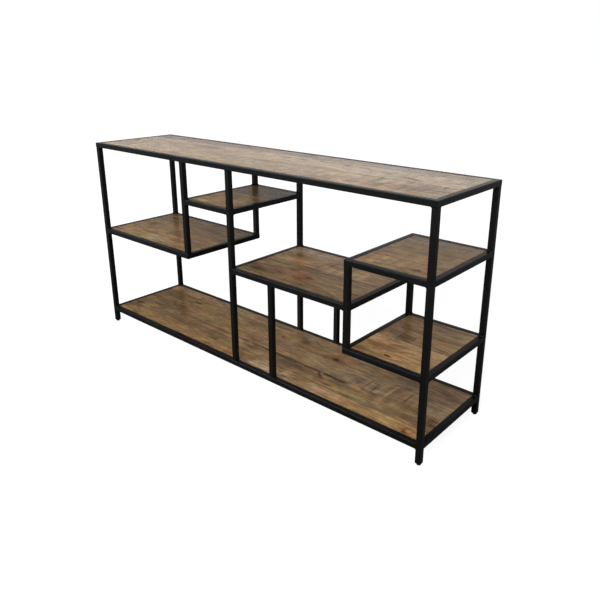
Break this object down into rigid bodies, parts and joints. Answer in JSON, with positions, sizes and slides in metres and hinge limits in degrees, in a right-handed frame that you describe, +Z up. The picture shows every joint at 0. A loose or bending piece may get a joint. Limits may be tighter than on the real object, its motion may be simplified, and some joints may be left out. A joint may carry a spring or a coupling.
{
  "type": "low open bookcase",
  "caption": "Long low open bookcase: staggered wooden shelves let into a welded frame of black square steel tube, open front and back, on short legs with glides.",
  "frame": {"origin": "on the floor, under the middle of the case", "axes": "+X along the length, towards the end with the two stacked small shelves; +Y from the front to the back; +Z up"},
  "size_m": [1.7, 0.4, 0.85],
  "materials": {
    "black_steel": "satin black powder coat",
    "shelf_wood": "satin lacquered solid mango-like wood",
    "glide_plastic": "matte black moulded plastic",
    "screw_steel": "black zinc plated"
  },
  "bodies": {
    "root": {"left_post_front": "black_steel", "left_post_back": "black_steel", "hanger_post_front": "black_steel", "hanger_post_back": "black_steel", "middle_post_front": "black_steel", "middle_post_back": "black_steel", "short_post_front": "black_steel", "short_post_back": "black_steel", "tower_post_front": "black_steel", "tower_post_back": "black_steel", "right_post_front": "black_steel", "right_post_back": "black_steel", "top_rail_front": "black_steel", "top_rail_back": "black_steel", "top_rail_left": "black_steel", "top_rail_right": "black_steel", "top_panel": "shelf_wood", "top_ledges": "black_steel", "base_rail_front": "black_steel", "base_rail_back": "black_steel", "base_rail_left": "black_steel", "base_rail_right": "black_steel", "base_panel": "shelf_wood", "base_ledges": "black_steel", "left_shelf_rail_front": "black_steel", "left_shelf_rail_back": "black_steel", "left_shelf_rail_left": "black_steel", "left_shelf_rail_right": "black_steel", "left_shelf_panel": "shelf_wood", "left_shelf_ledges": "black_steel", "small_shelf_rail_front": "black_steel", "small_shelf_rail_back": "black_steel", "small_shelf_rail_left": "black_steel", "small_shelf_rail_right": "black_steel", "small_shelf_panel": "shelf_wood", "small_shelf_ledges": "black_steel", "middle_shelf_rail_front": "black_steel", "middle_shelf_rail_back": "black_steel", "middle_shelf_rail_left": "black_steel", "middle_shelf_rail_right": "black_steel", "middle_shelf_panel": "shelf_wood", "middle_shelf_ledges": "black_steel", "upper_tower_shelf_rail_front": "black_steel", "upper_tower_shelf_rail_back": "black_steel", "upper_tower_shelf_rail_left": "black_steel", "upper_tower_shelf_rail_right": "black_steel", "upper_tower_shelf_panel": "shelf_wood", "upper_tower_shelf_ledges": "black_steel", "lower_tower_shelf_rail_front": "black_steel", "lower_tower_shelf_rail_back": "black_steel", "lower_tower_shelf_rail_left": "black_steel", "lower_tower_shelf_rail_right": "black_steel", "lower_tower_shelf_panel": "shelf_wood", "lower_tower_shelf_ledges": "black_steel", "glides": "glide_plastic", "weld_beads": "black_steel", "panel_screws": "screw_steel"}
  },
  "joints": []
}
